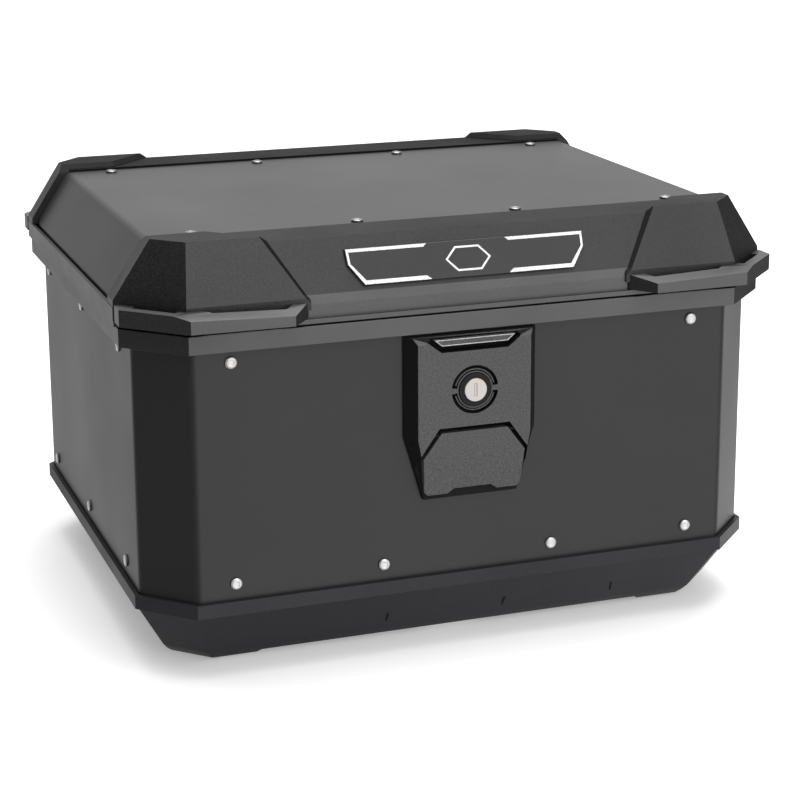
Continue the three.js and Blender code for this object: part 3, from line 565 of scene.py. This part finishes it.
def add_panel():
    """The lid's bent cover with rounded folds and rounded lower corners."""
    half, corner = 141.0, 9.0
    corners = [(-242.4, 266.0), (-217.0, 305.0), (217.0, 305.0), (242.4, 266.0)]
    path = rounded_path(corners, BEND_RADIUS, 10)
    (left, left_out), (left_next, _) = path[0], path[1]
    (right, right_out), (right_next, _) = path[-1], path[-2]
    fillet = [corner * (1 - math.cos(math.pi / 2 * k / 8)) for k in range(1, 9)]
    left_side = [(left + (left_next - left).normalized() * d, left_out) for d in fillet]
    right_side = [(right + (right_next - right).normalized() * d, right_out) for d in reversed(fillet)]
    rows = []
    for p, n in [path[0], *left_side, *path[1:-1], *right_side, path[-1]]:
        q = p - n * SHEET
        away = min((p - left).length, (p - right).length)
        reach = half
        if away < corner:
            reach = half - corner + math.sqrt(max(corner**2 - (corner - away) ** 2, 0))
        ys = [-reach, -reach / 2, 0, reach / 2, reach]
        rows.append(([(p.x, t, p.y) for t in ys], [(q.x, t, q.y) for t in ys]))
    points, faces = sheet_mesh(rows)
    panel = mesh_piece("lid_bent_panel", points, faces, "lid_sheet", None, "lid")
    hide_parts("lid_panel")


def raised_ring(outer, inner, place, low, high):
    """Points and faces of a flat frame between two outlines, lifted off a surface by low and high."""
    count = len(outer)
    points = [place(x, z, lift) for lift in (low, high) for x, z in [*outer, *inner]]
    faces = []
    up = 2 * count
    for i in range(count):
        j = (i + 1) % count
        faces.append([up + i, up + j, up + count + j, up + count + i])
        faces.append([j, i, count + i, count + j])
        faces.append([i, j, up + j, up + i])
        faces.append([count + j, count + i, up + count + i, up + count + j])
    return points, faces


def raised_plate(outline, place, low, high):
    """Points and faces of a flat plate on a surface, between two lifts."""
    count = len(outline)
    points = [place(x, z, lift) for lift in (low, high) for x, z in outline]
    faces = [list(range(count))[::-1], list(range(count, 2 * count))]
    faces += [[i, (i + 1) % count, count + (i + 1) % count, count + i] for i in range(count)]
    return points, faces


def on_badge(x, z, lift):
    """A point on the badge's sloping face."""
    run, rise = 18.4, 35.7
    length = math.hypot(run, rise)
    out = 1.9 + lift
    t = (z - 271.0 - out * run / length) / rise
    return (x, -197.0 + t * run - out * rise / length, z)


# The right bracket's outer and inner line, from the top end round to the lower end.
BRACKET_OUTER = [(29.5, 297.9), (88.6, 297.9), (88.0, 288.2), (78.0, 275.0), (29.0, 275.0)]
BRACKET_INNER = [(31.9, 295.9), (86.9, 295.9), (86.4, 288.5), (76.7, 277.5), (32.6, 277.5)]


def add_badge_lines():
    for name, side in (("left", -1), ("right", 1)):
        points = []
        for lift in (0.01, 0.1):
            points += [on_badge(side * x, z, lift) for x, z in [*BRACKET_OUTER, *BRACKET_INNER]]
        faces = []
        for i in range(4):
            faces.append([10 + i, 10 + i + 1, 15 + i + 1, 15 + i])
            faces.append([i + 1, i, 5 + i, 5 + i + 1])
            faces.append([i, i + 1, 11 + i, 10 + i])
            faces.append([6 + i, 5 + i, 15 + i, 16 + i])
        faces.append([5, 0, 10, 15])
        faces.append([4, 9, 19, 14])
        mesh_piece("badge_line_" + name, points, faces, "badge_gloss", "pale_print", "lid", False)
    outer = [(-17, 286.5), (-9, 294.5), (9, 294.5), (17, 286.5), (9, 278.5), (-9, 278.5)]
    inner = [(-15.3, 286.5), (-8.3, 293.3), (8.3, 293.3), (15.3, 286.5), (8.3, 279.7), (-8.3, 279.7)]
    points, faces = raised_ring(outer, inner, on_badge, 0.01, 0.1)
    mesh_piece("badge_mark", points, faces, "badge_gloss", "pale_print", "lid", False)


def on_tray_front(x, z, lift):
    """A point on the tray's sloping front face, lifted off it towards -Y."""
    return (x, -170.1 - (z - 10) * 24.4 / 36.5 - lift, z)


def add_tray_ticks():
    for i, x in enumerate((-57, 34, 122)):
        lean = 1.5 if i == 2 else 0
        outline = [(x - 0.5, 17), (x + 0.5, 17), (x + 0.5 - lean, 25), (x - 0.5 - lean, 25)]
        points, faces = raised_plate(outline, on_tray_front, 0.0, 0.5)
        mesh_piece("tray_tick_%d" % (i + 1), points, faces, "tray_plastic", "deep_black", "case", False)


def on_button(x, z, lift):
    """A point on the release button's face."""
    return (x, LOCK_FACE_Y + 0.2 - lift, z)


def in_key_slot(x, z, lift):
    """A point in the key slot, a little behind the barrel's face."""
    return (x, LOCK_FACE_Y - 1.1 - lift, z)


def add_lock_details():
    # A pale line round the release button's face: painted highlight along its edge.
    outer = [(-24.7, 228.0), (24.7, 228.0), (30.0, 232.5), (-30.0, 232.5)]
    inner = [(-24.4, 228.6), (24.4, 228.6), (28.6, 231.9), (-28.6, 231.9)]
    points, faces = raised_ring(outer, inner, on_button, 0.01, 0.12)
    mesh_piece("button_edge_highlight", points, faces, "grained_plastic", "edge_print", "button", False)
    slot = [(-0.7, KEY_Z - 4.4), (0.7, KEY_Z - 4.4), (0.7, KEY_Z + 4.4), (-0.7, KEY_Z + 4.4)]
    points, faces = raised_plate(slot, in_key_slot, 0.0, 0.3)
    mesh_piece("key_shutter", points, faces, "key_metal", None, "barrel", False)
    for name, turn in (("upper", 0), ("lower", 180)):
        points, faces = arc_ridge(15.2, 14.4, turn + 14, turn + 166)
        mesh_piece("guard_ridge_" + name, points, faces, "grained_plastic", "lock_plastic", "case")


def arc_ridge(outer, inner, start, end, steps=28):
    """A low ridge round the key between two angles in degrees, standing in the guard trench."""
    rows = []
    for k in range(steps + 1):
        a = math.radians(start + (end - start) * k / steps)
        near = [(r * math.cos(a), LOCK_FACE_Y + 0.5, KEY_Z + r * math.sin(a)) for r in (outer, inner)]
        far = [(r * math.cos(a), LOCK_FACE_Y + 3.9, KEY_Z + r * math.sin(a)) for r in (outer, inner)]
        rows.append((near, far))
    return sheet_mesh(rows)


add_wall()
add_panel()
add_rivets()
add_badge_lines()
add_lock_details()
add_tray_ticks()


# ---------------------------------------------------------------- camera, light and floor

def add_camera():
    camera = bpy.data.objects.new("camera", bpy.data.cameras.new("camera"))
    bpy.context.scene.collection.objects.link(camera)
    camera.location = (-0.537548, -1.555807, 0.611622)
    turn = Matrix.Rotation(-0.342543, 4, "Z") @ Matrix.Rotation(math.pi / 2 - 0.247127, 4, "X")
    camera.rotation_euler = (turn @ Matrix.Rotation(-0.004853, 4, "Z")).to_euler()
    camera.data.lens = 96.618
    camera.data.shift_y = -0.1
    camera.data.clip_end = 100
    bpy.context.scene.camera = camera


def area_light(name, place, aim, size, watts):
    data = bpy.data.lights.new(name, "AREA")
    data.shape = "RECTANGLE"
    data.size, data.size_y = size
    data.energy = watts
    light = bpy.data.objects.new(name, data)
    bpy.context.scene.collection.objects.link(light)
    light.location = place
    light.rotation_euler = (Vector(aim) - Vector(place)).to_track_quat("-Z", "Y").to_euler()


# Soft light round the object, each as (azimuth from -Y towards +X, elevation, inner angle of full
# strength, outer angle where it ends, strength).
LIGHT_ROUND = [
    (160, 10, 16, 36, 0.7),
    (-165, -22, 15, 42, 0.72),
    (22, 38, 10, 42, 1.8),
    (22, -20, 15, 45, 1.15),
    (110, -34, 10, 34, 1.7),
    (180, 80, 12, 42, 2.0),
]
DIM_ROUND = 0.115


def add_studio():
    world = bpy.data.worlds.new("studio")
    bpy.context.scene.world = world
    bpy.context.scene.view_settings.view_transform = "Standard"
    world.use_nodes = True
    tree = world.node_tree
    background = tree.nodes["Background"]
    direction = tree.nodes.new("ShaderNodeTexCoord").outputs["Generated"]
    total = None
    for azimuth, elevation, inner, outer, strength in LIGHT_ROUND:
        a, e = math.radians(azimuth), math.radians(elevation)
        towards = (math.sin(a) * math.cos(e), -math.cos(a) * math.cos(e), math.sin(e))
        facing = tree.nodes.new("ShaderNodeVectorMath")
        facing.operation = "DOT_PRODUCT"
        facing.inputs[1].default_value = towards
        tree.links.new(direction, facing.inputs[0])
        lobe = tree.nodes.new("ShaderNodeMapRange")
        lobe.interpolation_type = "SMOOTHSTEP"
        lobe.inputs["From Min"].default_value = math.cos(math.radians(outer))
        lobe.inputs["From Max"].default_value = math.cos(math.radians(inner))
        lobe.inputs["To Max"].default_value = strength
        tree.links.new(facing.outputs["Value"], lobe.inputs["Value"])
        add = tree.nodes.new("ShaderNodeMath")
        add.inputs[1].default_value = DIM_ROUND
        if total:
            tree.links.new(total, add.inputs[1])
        tree.links.new(lobe.outputs["Result"], add.inputs[0])
        total = add.outputs["Value"]
    tree.links.new(total, background.inputs["Strength"])
    background.inputs["Color"].default_value = (1, 1, 1, 1)
    area_light("top_box", (0.3, 0.3, 2.8), (0, 0, 0.2), (2.4, 2.0), 60)


def add_floor():
    size = 14.0
    mesh = bpy.data.meshes.new("floor")
    corners = [(-size, -size, 0), (size, -size, 0), (size, size, 0), (-size, size, 0)]
    mesh.from_pydata(corners, [], [(0, 1, 2, 3)])
    floor = bpy.data.objects.new("floor", mesh)
    bpy.context.scene.collection.objects.link(floor)
    floor.location.z = cad_bounds[0][2] - 0.0004
    paint = Recipe("floor_paint", (0.86, 0.86, 0.86), 0.7, specular=0.2)
    paint.vary_color(paint.noise(3.0), 0.995, 1.0)
    paint.set("Emission Color", (1.0, 1.0, 1.0, 1.0))
    paint.set("Emission Strength", 0.32)
    floor.data.materials.append(paint.material)
    floor.visible_glossy = False


def add_backdrop():
    """Pale walls far behind, seen by the camera only."""
    far, top, foot = 13.0, 12.0, -0.5
    corners = [(-far, -far), (far, -far), (far, far), (-far, far)]
    points = [(x, y, z) for z in (foot, top) for x, y in corners]
    mesh = bpy.data.meshes.new("backdrop")
    mesh.from_pydata(points, [], [(0, 1, 5, 4), (1, 2, 6, 5), (2, 3, 7, 6), (3, 0, 4, 7), (4, 5, 6, 7)])
    walls = bpy.data.objects.new("backdrop", mesh)
    bpy.context.scene.collection.objects.link(walls)
    paint = Recipe("backdrop_paint", (0.86, 0.86, 0.86), 0.9, specular=0.0)
    paint.set("Emission Color", (1.0, 1.0, 1.0, 1.0))
    paint.set("Emission Strength", 1.2)
    walls.data.materials.append(paint.material)
    walls.visible_glossy = False
    walls.visible_diffuse = False
    walls.visible_shadow = False
    walls.visible_transmission = False


add_camera()
add_studio()
add_floor()
add_backdrop()
